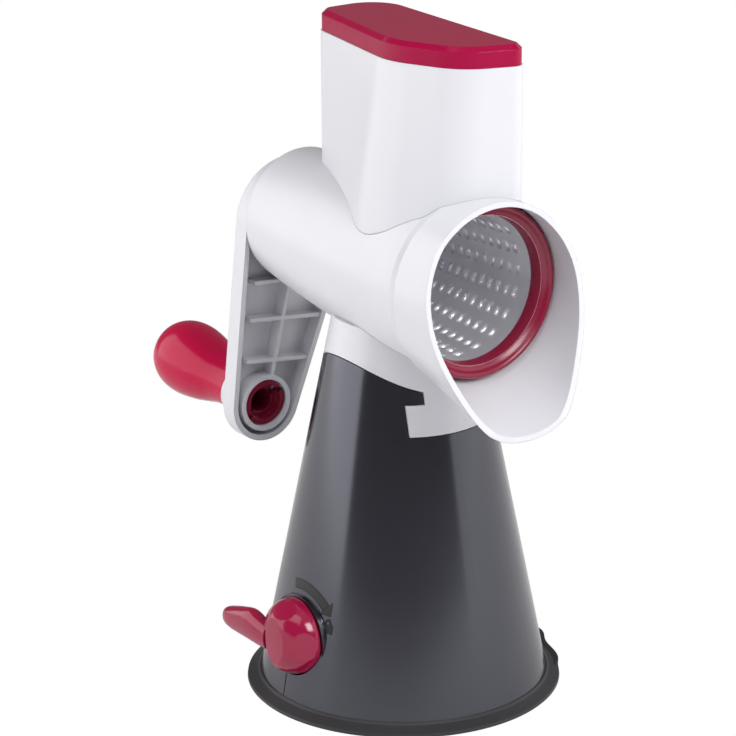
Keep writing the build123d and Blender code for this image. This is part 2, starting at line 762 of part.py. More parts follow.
# the grip's axis starts at the arm's inner face, and tip_plane looks back along it
tip_plane = Plane((arm_x, tip_y, AXIS_Z + tip_z), x_dir=(0, 1, 0), z_dir=(tilt_cos, 0, -tilt_sin))
grip_plane = Plane((arm_x, tip_y, AXIS_Z + tip_z), x_dir=(-tilt_cos, 0, tilt_sin), z_dir=(0, 1, 0))
grip_start = ARM_T + SLEEVE_LEN + GRIP_END_GAP

with BuildPart() as drive_shaft:
    with BuildSketch(axle.offset(arm_x - ARM_T)):
        Circle(CRANK_R)
    extrude(amount=ARM_T + ARM_GAP + CRANK_BOSS_LEN + BUSH_FLANGE_T + CLIP_T + 1.0)
    with BuildSketch(axle.offset(REAR_X + CRANK_BOSS_LEN)):
        RegularPolygon(HEX_R, 6)
    extrude(amount=DRUM_X0 - HUB_LEN + HEX_LEN - REAR_X - CRANK_BOSS_LEN)
drive_shaft.part.label = "drive_shaft"

with BuildPart() as shaft_clip:
    with BuildSketch(axle.offset(REAR_X + CRANK_BOSS_LEN + BUSH_FLANGE_T + 0.2)):
        Circle(CLIP_R)
        Circle(CRANK_R, mode=Mode.SUBTRACT)
    extrude(amount=CLIP_T)
shaft_clip.part.label = "shaft_clip"

with BuildPart() as crank_arm:
    with BuildSketch(axle.offset(arm_x)) as arm_outline:
        Circle(ARM_HUB_R)
        with Locations((tip_y, tip_z)):
            Circle(ARM_END_R)
        make_hull()
    extrude(amount=-ARM_T)
    fillet(crank_arm.faces().sort_by(Axis.X)[0].edges(), radius=1.8)
    with BuildSketch(axle.offset(arm_x)):
        Circle(ARM_HUB_R - ARM_RIM)
        with Locations((tip_y, tip_z)):
            Circle(ARM_END_R - ARM_RIM)
        make_hull()
    extrude(amount=ARM_SHELL - ARM_T, mode=Mode.SUBTRACT)
    # boss on the shaft and boss round the grip's spigot
    with BuildSketch(axle.offset(arm_x)):
        Circle(ARM_BOSS_R)
        with Locations((tip_y, tip_z)):
            Circle(ARM_TIP_BOSS_R)
    extrude(amount=-ARM_T)
    # ribs across the tray, and the long slanting one
    with BuildSketch(axle.offset(arm_x - RIB_DIP)):
        with BuildLine():
            for a, b in ARM_RIBS:
                Line(a, b)
        trace(line_width=RIB_T)
    extrude(amount=ARM_SHELL + RIB_DIP - ARM_T - 0.1)
    # sleeve behind the arm for the grip's spigot
    with BuildSketch(tip_plane.offset(1 - ARM_T)):
        Circle(SLEEVE_R)
    extrude(amount=-SLEEVE_LEN - 1)
    with BuildSketch(axle.offset(arm_x)):
        Circle(CRANK_R)
    extrude(amount=-ARM_T, mode=Mode.SUBTRACT)
    with BuildSketch(tip_plane.offset(1)):
        Circle(SNAP_R + SNAP_GAP)
    extrude(amount=-SNAP_DEPTH - 1, mode=Mode.SUBTRACT)
    with BuildSketch(tip_plane.offset(1)):
        Circle(SPIGOT_HOLE_R)
    extrude(amount=-ARM_T - SLEEVE_LEN - 1, mode=Mode.SUBTRACT)
crank_arm.part.label = "crank_arm"

with BuildPart() as crank_cap:
    with BuildSketch(axle.offset(arm_x - ARM_T)):
        Circle(CAP_R)
    extrude(amount=-CAP_T)
    fillet(crank_cap.faces().sort_by(Axis.X)[0].edges(), radius=1.0)
crank_cap.part.label = "crank_cap"

# ================================================================ grip
grip_axis = Axis((arm_x, tip_y, AXIS_Z + tip_z), (tilt_cos, 0, -tilt_sin))

with BuildPart() as grip:
    with BuildSketch(grip_plane):
        with BuildLine():
            inner = Line((grip_start, 0), (grip_start, GRIP_NECK_R - 1.0))
            shoulder = RadiusArc(inner @ 1, (grip_start + 1.0, GRIP_NECK_R), 1.0)
            bulb = Spline(
                shoulder @ 1,
                (grip_start + GRIP_BULGE * 0.45, GRIP_NECK_R + (GRIP_R - GRIP_NECK_R) * 0.52),
                (grip_start + GRIP_BULGE, GRIP_R),
                (grip_start + GRIP_LEN - 2.0, GRIP_END_R + 2.6),
                tangents=((1, 0), (0.62, -0.78)),
            )
            Polyline(bulb @ 1, (grip_start + GRIP_LEN, GRIP_END_R), (grip_start + GRIP_LEN, 0), inner @ 0)
        make_face()
    revolve(axis=grip_axis)
    with BuildSketch(tip_plane.offset(-grip_start)):
        Circle(SPIGOT_HOLE_R - GRIP_GAP)
    extrude(amount=-SPIGOT_LEN, mode=Mode.SUBTRACT)
grip.part.label = "grip"

snap_floor = SNAP_DEPTH - SNAP_FLOOR_GAP
with BuildPart() as grip_spigot:
    with BuildSketch(tip_plane.offset(-grip_start - SPIGOT_LEN)):
        Circle(SPIGOT_HOLE_R - GRIP_GAP)
        Circle(SPIGOT_HOLE_R - GRIP_GAP - SNAP_WALL, mode=Mode.SUBTRACT)
    extrude(amount=grip_start + SPIGOT_LEN - snap_floor)
    with BuildSketch(tip_plane.offset(-snap_floor)):
        Circle(SNAP_R)
        Circle(SPIGOT_HOLE_R - GRIP_GAP - SNAP_WALL, mode=Mode.SUBTRACT)
    extrude(amount=SNAP_WALL)
    with BuildSketch(tip_plane.offset(SNAP_WALL - snap_floor)):
        Circle(SNAP_R)
        Circle(SNAP_R - SNAP_WALL, mode=Mode.SUBTRACT)
    extrude(amount=snap_floor - SNAP_WALL - SNAP_SINK)
    with BuildSketch(tip_plane.offset(-snap_floor)):
        Rectangle(4 * SNAP_R, SNAP_SLOT, rotation=SNAP_TURN)
    extrude(amount=SNAP_DEPTH, mode=Mode.SUBTRACT)
grip_spigot.part.label = "grip_spigot"

with BuildPart() as grip_cap:
    with BuildSketch(tip_plane.offset(-grip_start - GRIP_LEN)):
        Circle(GRIP_END_R - GRIP_CAP_STEP)
    extrude(amount=-GRIP_CAP_LEN)
    fillet(grip_cap.faces().sort_by(Axis.X)[0].edges(), radius=GRIP_CAP_LEN * 0.7)
grip_cap.part.label = "grip_cap"

# ================================================================ pusher
pusher_points = [PUSHER_CORNER] + HOPPER_TOP[1:]
pusher_out, pusher_radii = inset(pusher_points, HOPPER_RADII, HOPPER_WALL + PUSHER_GAP)
pusher_in, pusher_radii_in = inset(pusher_points, HOPPER_RADII, HOPPER_WALL + PUSHER_GAP + PUSHER_WALL)
pusher_step_z = HOPPER_SPLIT_Z + PUSHER_GAP

with BuildPart() as pusher_body:
    with BuildSketch(Plane.XY.offset(PUSHER_Z)):
        with BuildLine():
            outline(pusher_out, pusher_radii)
        make_face()
    extrude(amount=HOPPER_TOP_Z - PUSHER_Z)
    with BuildSketch(Plane.XY.offset(pusher_step_z + PUSHER_WALL)):
        with BuildLine():
            outline(pusher_in, pusher_radii_in)
        make_face()
    extrude(amount=HOPPER_TOP_Z - pusher_step_z - PUSHER_WALL, mode=Mode.SUBTRACT)
    # the foot is narrower than the hopper, like the feed opening
    with BuildSketch(Plane.XY.offset(PUSHER_Z)):
        with Locations((FEED_X1 - PUSHER_GAP, 0)):
            Rectangle(60, 120, align=(Align.MIN, Align.CENTER))
        with Locations((FEED_X0 + PUSHER_GAP, 0)):
            Rectangle(60, 120, align=(Align.MAX, Align.CENTER))
    extrude(amount=pusher_step_z - PUSHER_Z, mode=Mode.SUBTRACT)
pusher_body.part.label = "pusher_body"

lid_points, lid_radii = inset(HOPPER_TOP, HOPPER_RADII, LID_INSET)
with BuildPart() as pusher_lid:
    with BuildSketch(Plane.XY.offset(HOPPER_TOP_Z)):
        with BuildLine():
            outline(lid_points, lid_radii)
        make_face()
    extrude(amount=LID_T)
    chamfer(pusher_lid.faces().sort_by(Axis.Z)[-1].edges(), length=LID_BEVEL)
pusher_lid.part.label = "pusher_lid"

nodes = [
    stand_shell,
    stand_foot,
    knob_seat,
    suction_cup,
    bearing_plate,
    plate_screws,
    lever_bush,
    lever_knob,
    cam_shaft,
    suction_stem,
    housing,
    bell,
    hopper,
    neck,
    crank_bush,
    drum_sheet,
    drum_ring,
    drum_hub,
    drive_shaft,
    shaft_clip,
    crank_arm,
    crank_cap,
    grip,
    grip_spigot,
    grip_cap,
    pusher_body,
    pusher_lid,
]
for node in nodes:
    export_step(node.part, "parts/" + node.part.label + ".step")
    print(node.part.label, len(node.part.solids()), round(node.part.volume, 1), node.part.is_valid)
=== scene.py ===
import math

import bmesh
import bpy
from mathutils import Matrix, Vector


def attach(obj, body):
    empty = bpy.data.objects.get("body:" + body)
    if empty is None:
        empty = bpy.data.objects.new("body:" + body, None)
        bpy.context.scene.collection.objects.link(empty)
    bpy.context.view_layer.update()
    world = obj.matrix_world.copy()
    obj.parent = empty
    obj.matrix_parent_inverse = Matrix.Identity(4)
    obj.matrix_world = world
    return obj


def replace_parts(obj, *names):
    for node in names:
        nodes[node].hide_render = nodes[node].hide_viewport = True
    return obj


mm = 0.001

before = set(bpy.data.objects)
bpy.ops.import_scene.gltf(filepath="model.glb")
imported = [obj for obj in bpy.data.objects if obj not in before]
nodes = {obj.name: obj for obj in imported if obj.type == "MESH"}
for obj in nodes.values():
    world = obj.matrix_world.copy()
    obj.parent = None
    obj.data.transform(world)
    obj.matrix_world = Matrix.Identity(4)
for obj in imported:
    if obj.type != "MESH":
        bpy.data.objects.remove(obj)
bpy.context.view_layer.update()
print("frame loaded:", len(nodes), "nodes")


# sRGB hex to the linear colour that the shaders take
def hexToLinear(code):
    channels = [int(code[i : i + 2], 16) / 255 for i in (1, 3, 5)]
    return tuple(c / 12.92 if c <= 0.04045 else ((c + 0.055) / 1.055) ** 2.4 for c in channels) + (1.0,)


# a shader node with its sockets or properties set by name, and its links made
def addNode(tree, kind, settings=None, links=None):
    node = tree.nodes.new(kind)
    for name, value in (settings or {}).items():
        if name in node.inputs:
            node.inputs[name].default_value = value
        else:
            setattr(node, name, value)
    for name, source in (links or {}).items():
        tree.links.new(source, node.inputs[name])
    return node


def newMaterial(name):
    material = bpy.data.materials.new(name)
    material.use_nodes = True
    material.node_tree.nodes.clear()
    return material, material.node_tree


def deselectAll():
    bpy.ops.object.select_all(action="DESELECT")


def dress(name, material):
    slots = nodes[name].material_slots
    for slot in slots:
        slot.material = material
    if not slots:
        nodes[name].data.materials.append(material)


# sizes in mm: peelSize is the grain of the mould, edge the radius that catches the light
plastics = {
    # injection-moulded ABS: even colour, soft gloss, a faint orange-peel from the mould
    "whiteAbs": {
        "colour": "#D3D3D8", "shade": "#CDCDD3", "roughness": 0.3,
        "peel": 0.05, "peelSize": 3.0, "ior": 1.53, "specular": 0.5,
    },
    "redAbsLid": {
        "colour": "#9C083C", "shade": "#920737", "roughness": 0.12,
        "peel": 0.03, "peelSize": 4.0, "ior": 1.5, "specular": 0.16,
    },
    "redAbsGrip": {
        "colour": "#BC0740", "shade": "#AE0639", "roughness": 0.18,
        "peel": 0.04, "peelSize": 3.0, "ior": 1.5, "specular": 0.25,
    },
    "redAbsKnob": {
        "colour": "#93053A", "shade": "#8A0434", "roughness": 0.15,
        "peel": 0.03, "peelSize": 3.0, "ior": 1.5, "specular": 0.5,
    },
    "redAbsRing": {
        "colour": "#821034", "shade": "#7A102D", "roughness": 0.24,
        "peel": 0.03, "peelSize": 3.0, "ior": 1.5, "specular": 0.45,
    },
    "anthraciteAbs": {
        "colour": "#18171D", "shade": "#16151A", "roughness": 0.16,
        "peel": 0.03, "peelSize": 2.5, "ior": 1.8, "specular": 0.5, "tint": "#EDEEFF", "edge": 0,
    },
    # matt print on the stand
    "greyPrint": {
        "colour": "#141317", "shade": "#121115", "roughness": 0.45,
        "peel": 0.02, "peelSize": 1.5, "ior": 1.5, "specular": 0.4,
    },
    # acetal: milky and a little waxy, machined smooth
    "naturalAcetal": {
        "colour": "#E6E5DF", "shade": "#DDDCD5", "roughness": 0.42,
        "peel": 0.04, "peelSize": 2.0, "ior": 1.48, "specular": 0.5,
    },
}


toneSize = 38  # the colour drifts slowly, over some 38 mm


def makePlastic(name, spec):
    material, tree = newMaterial(name)
    coords = addNode(tree, "ShaderNodeTexCoord")
    tone = addNode(
        tree,
        "ShaderNodeTexNoise",
        {"Scale": 1 / (toneSize * mm), "Detail": 2.0},
        {"Vector": coords.outputs["Object"]},
    )
    mix = addNode(tree, "ShaderNodeMix", {"data_type": "RGBA"})
    mix.inputs[6].default_value = hexToLinear(spec["colour"])
    mix.inputs[7].default_value = hexToLinear(spec["shade"])
    tree.links.new(tone.outputs["Fac"], mix.inputs[0])
    peel = addNode(
        tree,
        "ShaderNodeTexNoise",
        {"Scale": 1 / (spec["peelSize"] * mm), "Detail": 1.0},
        {"Vector": coords.outputs["Object"]},
    )
    # moulded edges catch the light on a radius of half a millimetre, where a spec names no other
    softEdge = addNode(tree, "ShaderNodeBevel", {"samples": 4, "Radius": spec.get("edge", 0.5) * mm})
    bump = addNode(
        tree,
        "ShaderNodeBump",
        {"Strength": spec["peel"], "Distance": 0.1 * mm},
        {"Height": peel.outputs["Fac"], "Normal": softEdge.outputs["Normal"]},
    )
    shader = addNode(
        tree,
        "ShaderNodeBsdfPrincipled",
        {"Roughness": spec["roughness"], "IOR": spec["ior"], "Specular IOR Level": spec["specular"]},
        {"Base Color": mix.outputs[2], "Normal": bump.outputs["Normal"]},
    )
    shader.inputs["Specular Tint"].default_value = hexToLinear(spec.get("tint", "#FFFFFF"))
    addNode(tree, "ShaderNodeOutputMaterial", {}, {"Surface": shader.outputs["BSDF"]})
    return material


mats = {name: makePlastic(name, spec) for name, spec in plastics.items()}


def makeRubber():
    # moulded rubber: near matt, with dust-fine grain
    material, tree = newMaterial("mouldedRubber")
    coords = addNode(tree, "ShaderNodeTexCoord")
    # grain of 0.8 mm, coarser than real dust so that it shows
    grain = addNode(
        tree,
        "ShaderNodeTexNoise",
        {"Scale": 1 / (0.8 * mm), "Detail": 3.0},
        {"Vector": coords.outputs["Object"]},
    )
    bump = addNode(
        tree,
        "ShaderNodeBump",
        {"Strength": 0.15, "Distance": 0.1 * mm},
        {"Height": grain.outputs["Fac"]},
    )
    shader = addNode(
        tree,
        "ShaderNodeBsdfPrincipled",
        {"Base Color": hexToLinear("#201E22"), "Roughness": 0.5, "IOR": 1.52},
        {"Normal": bump.outputs["Normal"]},
    )
    addNode(tree, "ShaderNodeOutputMaterial", {}, {"Surface": shader.outputs["BSDF"]})
    return material


def makeSteel(name, colour, roughness, grain, metal):
    # sheet steel: metal with fine rolling marks, drawn out along x
    material, tree = newMaterial(name)
    coords = addNode(tree, "ShaderNodeTexCoord")
    stretch = addNode(tree, "ShaderNodeMapping", {}, {"Vector": coords.outputs["Object"]})
    stretch.inputs["Scale"].default_value = (0.06, 1, 1)
    lines = addNode(
        tree,
        "ShaderNodeTexNoise",
        {"Scale": 1 / (grain * mm), "Detail": 2.0},
        {"Vector": stretch.outputs["Vector"]},
    )
    bump = addNode(
        tree,
        "ShaderNodeBump",
        {"Strength": 0.08, "Distance": 0.05 * mm},
        {"Height": lines.outputs["Fac"]},
    )
    shader = addNode(
        tree,
        "ShaderNodeBsdfPrincipled",
        {"Base Color": hexToLinear(colour), "Metallic": metal, "Roughness": roughness},
        {"Normal": bump.outputs["Normal"]},
    )
    addNode(tree, "ShaderNodeOutputMaterial", {}, {"Surface": shader.outputs["BSDF"]})
    return material


mats["mouldedRubber"] = makeRubber()
mats["stainlessSheet"] = makeSteel("stainlessSheet", "#EDEDF1", 0.36, 0.5, 0.78)
mats["zincSteel"] = makeSteel("zincSteel", "#B4B7BC", 0.35, 0.8, 1.0)

finishes = {
    "stand_shell": "anthraciteAbs",
    "stand_foot": "anthraciteAbs",
    "knob_seat": "anthraciteAbs",
    "suction_cup": "mouldedRubber",
    "bearing_plate": "naturalAcetal",
    "plate_screws": "zincSteel",
    "lever_bush": "naturalAcetal",
    "lever_knob": "redAbsKnob",
    "cam_shaft": "naturalAcetal",
    "suction_stem": "naturalAcetal",
    "housing": "whiteAbs",
    "bell": "whiteAbs",
    "hopper": "whiteAbs",
    "neck": "whiteAbs",
    "crank_bush": "naturalAcetal",
    "drum_sheet": "stainlessSheet",
    "drum_ring": "redAbsRing",
    "drum_hub": "whiteAbs",
    "drive_shaft": "naturalAcetal",
    "shaft_clip": "zincSteel",
    "crank_arm": "whiteAbs",
    "crank_cap": "whiteAbs",
    "grip": "redAbsGrip",
    "grip_spigot": "redAbsRing",
    "grip_cap": "redAbsGrip",
    "pusher_body": "whiteAbs",
    "pusher_lid": "redAbsLid",
}
for name, finish in finishes.items():
    dress(name, mats[finish])
print("materials on", len(finishes), "nodes")

def newPiece(name, mesh, material, body):
    piece = bpy.data.objects.new(name, mesh)
    bpy.context.scene.collection.objects.link(piece)
    piece.data.materials.append(material)
    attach(piece, body)
    return piece


def applyModifier(piece, name, kind, **settings):
    deselectAll()
    piece.select_set(True)
    bpy.context.view_layer.objects.active = piece
    modifier = piece.modifiers.new(name, kind)
    for key, value in settings.items():
        setattr(modifier, key, value)
    bpy.ops.object.modifier_apply(modifier=modifier.name)


def smoothByAngle(piece, degrees):
    deselectAll()
    piece.select_set(True)
    bpy.context.view_layer.objects.active = piece
    bpy.ops.object.shade_smooth_by_angle(angle=math.radians(degrees))


# angles of the points on a ring
def roundAngles(count):
    return [2 * math.pi * i / count for i in range(count)]


# walls between pairs of rings
def joinRings(shape, pairs):
    for one, two in pairs:
        count = len(one)
        for i in range(count):
            shape.faces.new((one[i], one[(i + 1) % count], two[(i + 1) % count], two[i]))


# the finished mesh of a shape, with its faces outwards
def closeShape(name, shape):
    bmesh.ops.recalc_face_normals(shape, faces=shape.faces)
    mesh = bpy.data.meshes.new(name)
    shape.to_mesh(mesh)
    shape.free()
    return mesh


# raised teeth over the drum's slots: half-open domes, cut open towards the mouth
tooth = {
    "rows": 20,
    "count": 16,
    "pitch": 4.75,
    "half": (1.6, 2.5, 1.1),  # half length, half width and height of a dome
    "openFrom": 0.72,  # share of the half length where the dome is cut open
    "below": -0.05,
    "sink": 0.1,
    "sheet": 0.3,
    "axisZ": 172.8,
    "x0": -46.0,
    "r0": 24.0,
    "slope": 5.8 / 95.0,
}


def makeTeeth():
    deselectAll()
    bpy.ops.mesh.primitive_uv_sphere_add(segments=14, ring_count=8, radius=1.0)
    dome = bpy.context.object
    shape = bmesh.new()
    shape.from_mesh(dome.data)
    away = [v for v in shape.verts if v.co.z < tooth["below"] or v.co.x > tooth["openFrom"]]
    bmesh.ops.delete(shape, geom=away, context="VERTS")
    for vertex in shape.verts:
        vertex.co = Vector([c * h * mm for c, h in zip(vertex.co, tooth["half"])])
    shape.to_mesh(dome.data)
    shape.free()
    copies = []
    for row in range(tooth["rows"]):
        turn = 2 * math.pi * row / tooth["rows"]
        out = Vector((0, math.sin(turn), math.cos(turn)))
        along = Vector((1, 0, 0))
        side = out.cross(along)
        for i in range(tooth["count"]):
            x = (i - (tooth["count"] - 1) / 2) * tooth["pitch"]
            r = tooth["r0"] + tooth["slope"] * (x - tooth["x0"]) - tooth["sink"]
            place = Vector((x * mm, 0, tooth["axisZ"] * mm)) + out * r * mm
            copy = dome.copy()
            copy.data = dome.data.copy()
            facing = Matrix((along, side, out)).transposed().to_4x4()
            copy.data.transform(Matrix.Translation(place) @ facing)
            bpy.context.scene.collection.objects.link(copy)
            copies.append(copy)
    deselectAll()
    for copy in copies:
        copy.select_set(True)
    bpy.context.view_layer.objects.active = copies[0]
    bpy.ops.object.join()
    teeth = bpy.context.object
    teeth.name = "drum_teeth"
    bpy.data.objects.remove(dome)
    teeth.data.materials.clear()
    teeth.data.materials.append(mats["stainlessSheet"])
    applyModifier(teeth, "sheet", "SOLIDIFY", thickness=tooth["sheet"] * mm, offset=-1)
    smoothByAngle(teeth, 40)
    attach(teeth, "drum")


makeTeeth()
print("teeth made")

# knob with flats and its lever, in mm from the shaft: along x, up, and out from the base plane
knob = {
    "shaftZ": 29.5,
    "base": 50.8,
    "turns": 64,
    "edge": 0.5,
    # distance out, half width and half height of each ring, to an oval face
    "rings": [
        (0.0, 15.2, 15.2),
        (3.0, 15.0, 15.0),
        (5.4, 14.0, 14.5),
        (7.6, 12.4, 13.5),
        (9.4, 10.2, 12.4),
        (10.7, 8.0, 11.2),
        (11.5, 6.0, 9.6),
    ],
    # direction of each flat and its distance from the middle of the base
    "flats": [
        ((0.15, 0.83, 0.54), 14.5),
        ((0.84, 0.02, 0.54), 13.6),
        ((0.40, -0.77, 0.50), 15.0),
    ],
    # place along, middle height, half height and half depth
    "lever": [
        (-7, -1.5, 5.2, 3.6),
        (-13, -1.0, 5.9, 3.9),
        (-19.5, -0.2, 6.5, 4.1),
        (-27, -0.9, 5.7, 3.9),
        (-33, -1.7, 4.7, 3.5),
        (-36.6, -2.0, 3.7, 2.9),
        (-38.4, -2.1, 2.3, 1.9),
        (-39.1, -2.1, 0.9, 0.8),
    ],
    "leverOut": 8.4,
    "leverTurns": 32,
    "ridge": 0.85,  # power under 1 turns the oval section towards a softened oblong
}


def onLever(u, v, w):
    return Vector((u, -(knob["base"] + w), knob["shaftZ"] + v)) * mm


def makeKnob():
    shape = bmesh.new()
    rings = []
    for out, wide, tall in knob["rings"]:
        rings.append([shape.verts.new((wide * math.cos(a), tall * math.sin(a), out)) for a in roundAngles(knob["turns"])])
    joinRings(shape, zip(rings, rings[1:]))
    shape.faces.new(rings[-1])
    shape.faces.new(rings[0][::-1])
    for normal, offset in knob["flats"]:
        normal = Vector(normal).normalized()
        everything = shape.verts[:] + shape.edges[:] + shape.faces[:]
        cut = bmesh.ops.bisect_plane(
            shape,
            geom=everything,
            plane_co=normal * offset,
            plane_no=normal,
            clear_outer=True,
            dist=1e-5,
        )
        edges = [e for e in cut["geom_cut"] if isinstance(e, bmesh.types.BMEdge)]
        bmesh.ops.contextual_create(shape, geom=edges)
    for vertex in shape.verts:
        vertex.co = onLever(*vertex.co)
    piece = newPiece("knob_flats", closeShape("knob_flats", shape), mats["redAbsKnob"], "lever")
    edge = {"width": knob["edge"] * mm, "segments": 3, "limit_method": "ANGLE", "angle_limit": math.radians(18)}
    applyModifier(piece, "round", "BEVEL", **edge)
    smoothByAngle(piece, 30)
    return piece


# points of a smooth line through the given ones
def smoothLine(points, steps):
    line = []
    for i in range(len(points) - 1):
        last = len(points) - 1
        a, b, c, d = (Vector(points[min(max(k, 0), last)]) for k in (i - 1, i, i + 1, i + 2))
        for k in range(steps):
            t = k / steps
            line.append(0.5 * (2 * b + (c - a) * t + (2 * a - 5 * b + 4 * c - d) * t * t + (3 * b - a - 3 * c + d) * t**3))
    line.append(Vector(points[-1]))
    return line


# a smooth bar through the lever's stations
def makeLever():
    shape = bmesh.new()
    rings = []
    for u, v, tall, deep in (tuple(p) for p in smoothLine(knob["lever"], 4)):
        ring = []
        for a in roundAngles(knob["leverTurns"]):
            c, s = math.cos(a), math.sin(a)
            up = tall * math.copysign(abs(s) ** knob["ridge"], s)
            out = deep * math.copysign(abs(c) ** knob["ridge"], c)
            ring.append(shape.verts.new(onLever(u, v + up, knob["leverOut"] + out)))
        rings.append(ring)
    joinRings(shape, zip(rings, rings[1:]))
    shape.faces.new(rings[0])
    shape.faces.new(rings[-1])
    piece = newPiece("knob_lever", closeShape("knob_lever", shape), mats["redAbsKnob"], "lever")
    smoothByAngle(piece, 45)
    return piece


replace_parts(makeKnob(), "lever_knob")
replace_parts(makeLever(), "lever_knob")

# pear-shaped grip, turned about the spigot's axis, which points up a little from the arm
gripForm = {
    "origin": (-69.4, -17.9997, 98.9623),
    "tilt": 4.5,
    "start": 17.4,
    # distance along the grip and its radius there
    "profile": [
        (0, 8.6),
        (0.5, 9.5),
        (6, 9.7),
        (12, 10.5),
        (18, 12.1),
        (25, 13.9),
        (32, 15.1),
        (37.5, 15.5),
        (43, 15.0),
        (47.5, 13.4),
        (50.5, 11.2),
        (52, 9.2),
    ],
    "turns": 64,
}


# a shape turned about an axis, from points along it and their radii
def turned(name, origin, along, side, line, count, closed, material, body):
    up = along.cross(side)
    shape = bmesh.new()
    rings = []
    for reach, radius in line:
        middle = Vector(origin) + along * reach
        points = [middle + (side * math.cos(a) + up * math.sin(a)) * radius for a in roundAngles(count)]
        rings.append([shape.verts.new(point * mm) for point in points])
    joinRings(shape, zip(rings, rings[1:] + rings[:1] if closed else rings[1:]))
    if not closed:
        shape.faces.new(rings[0])
        shape.faces.new(rings[-1])
    piece = newPiece(name, closeShape(name, shape), material, body)
    smoothByAngle(piece, 40)
    return piece


def makeGrip():
    tilt = math.radians(gripForm["tilt"])
    out = Vector((-math.cos(tilt), 0, math.sin(tilt)))
    line = [(gripForm["start"] + along, radius) for along, radius in smoothLine(gripForm["profile"], 5)]
    side = Vector((0, 1, 0))
    red = mats["redAbsGrip"]
    piece = turned("grip_bulb", gripForm["origin"], out, side, line, gripForm["turns"], False, red, "handle")
    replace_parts(piece, "grip")


# ring with a round bead at the mouth and a lip that lines the sheet's edge
ringForm = {
    "axis": (0, 0, 172.8),
    # place along the drum's axis and radius, all round the section
    "profile": [
        (44.0, 29.8),
        (44.0, 33.4),
        (44.4, 33.9),
        (49.6, 33.9),
        (50.6, 33.7),
        (51.3, 33.1),
        (51.5, 32.4),
        (51.3, 31.7),
        (50.7, 31.2),
        (50.1, 30.9),
        (49.7, 30.2),
        (49.3, 29.3),
        (48.6, 28.75),
        (43.4, 28.4),
        (43.3, 28.75),
        (49.0, 29.1),
    ],
    "turns": 96,
}


def makeRing():
    along, side = Vector((1, 0, 0)), Vector((0, 1, 0))
    line, turns = ringForm["profile"], ringForm["turns"]
    piece = turned("ring_bead", ringForm["axis"], along, side, line, turns, True, mats["redAbsRing"], "drum")
    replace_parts(piece, "drum_ring")


makeRing()
makeGrip()

# printed marks beside the knob: an arrow round it and a padlock, and the seam of the mould below
marks = {
    "cone": (58.0, 0.2),  # the stand's radius at the worktop, and its loss with height
    "lift": 0.10,
    "thick": 0.08,
    "arc": (20.2, 3.9),  # the arrow's middle radius and width
    "from": 106.0,  # degrees, anticlockwise from the right
    "to": 47.0,
    "head": 36.0,
    "headHalf": 3.9,
    "lock": (15.9, 36.6),
    "lockSize": (4.6, 3.6),
    "shackle": (1.5, 0.8),
    "shackleRise": 0.9,
    "seamTop": 13.3,
    "seamWidth": 0.25,
}


def onStand(x, z, lift):
    foot, taper = marks["cone"]
    r = foot - taper * z + lift
    return Vector((x, -math.sqrt(r * r - x * x), z)) * mm


def markPiece(name, strips, material):
    shape = bmesh.new()
    for strip in strips:
        pairs = [[shape.verts.new(onStand(x, z, marks["lift"])) for x, z in pair] for pair in strip]
        for (a, b), (c, d) in zip(pairs, pairs[1:]):
            shape.faces.new((a, b, d, c))
    bmesh.ops.remove_doubles(shape, verts=shape.verts, dist=1e-7)
    piece = newPiece(name, closeShape(name, shape), material, "base")
    applyModifier(piece, "film", "SOLIDIFY", thickness=marks["thick"] * mm, offset=0)
    return piece


def polar(radius, degrees):
    a = math.radians(degrees)
    return (radius * math.cos(a), knob["shaftZ"] + radius * math.sin(a))


def makeMarks():
    mid, width = marks["arc"]
    steps = 24
    arrow = []
    for i in range(steps + 1):
        a = marks["from"] + (marks["to"] - marks["from"]) * i / steps
        arrow.append((polar(mid - width / 2, a), polar(mid + width / 2, a)))
    head = []
    for i in range(9):
        a = marks["to"] + (marks["head"] - marks["to"]) * i / 8
        half = max(marks["headHalf"] * (1 - i / 8), 0.02)
        head.append((polar(mid - half, a), polar(mid + half, a)))
    markPiece("turn_arrow", [arrow, head], mats["greyPrint"])
    x, z = marks["lock"]
    w, h = marks["lockSize"]
    rows = [z - h / 2 + h * i / 3 for i in range(4)]
    body = [((x - w / 2, row), (x + w / 2, row)) for row in rows]
    outer, thick = marks["shackle"]
    bow = []
    for i in range(13):
        a = math.pi * i / 12
        rise = marks["shackleRise"]
        inside = (x + (outer - thick) * math.cos(a), z + h / 2 + rise * math.sin(a) * 1.2)
        outside = (x + outer * math.cos(a), z + h / 2 + (rise + thick) * math.sin(a) * 1.3)
        bow.append((inside, outside))
    markPiece("padlock_mark", [body, bow], mats["greyPrint"])
    seam = []
    for i in range(11):
        left, row = -2.2 + 0.03 * i, marks["seamTop"] - 0.85 * i
        seam.append(((left, row), (left + marks["seamWidth"], row)))
    markPiece("mould_seam", [seam], mats["greyPrint"])


makeMarks()
print("knob and marks made")

# the camera that was fitted to the photograph: degrees, metres, and the lens in mm
studio = {
    "azimuth": -35.5,
    "elevation": 18.6,
    "roll": -0.3,
    "distance": 1.25,
    "lens": 156.99,
    "aim": (-0.00806, -0.01098, 0.12917),
    "worldLight": 0.2,
}


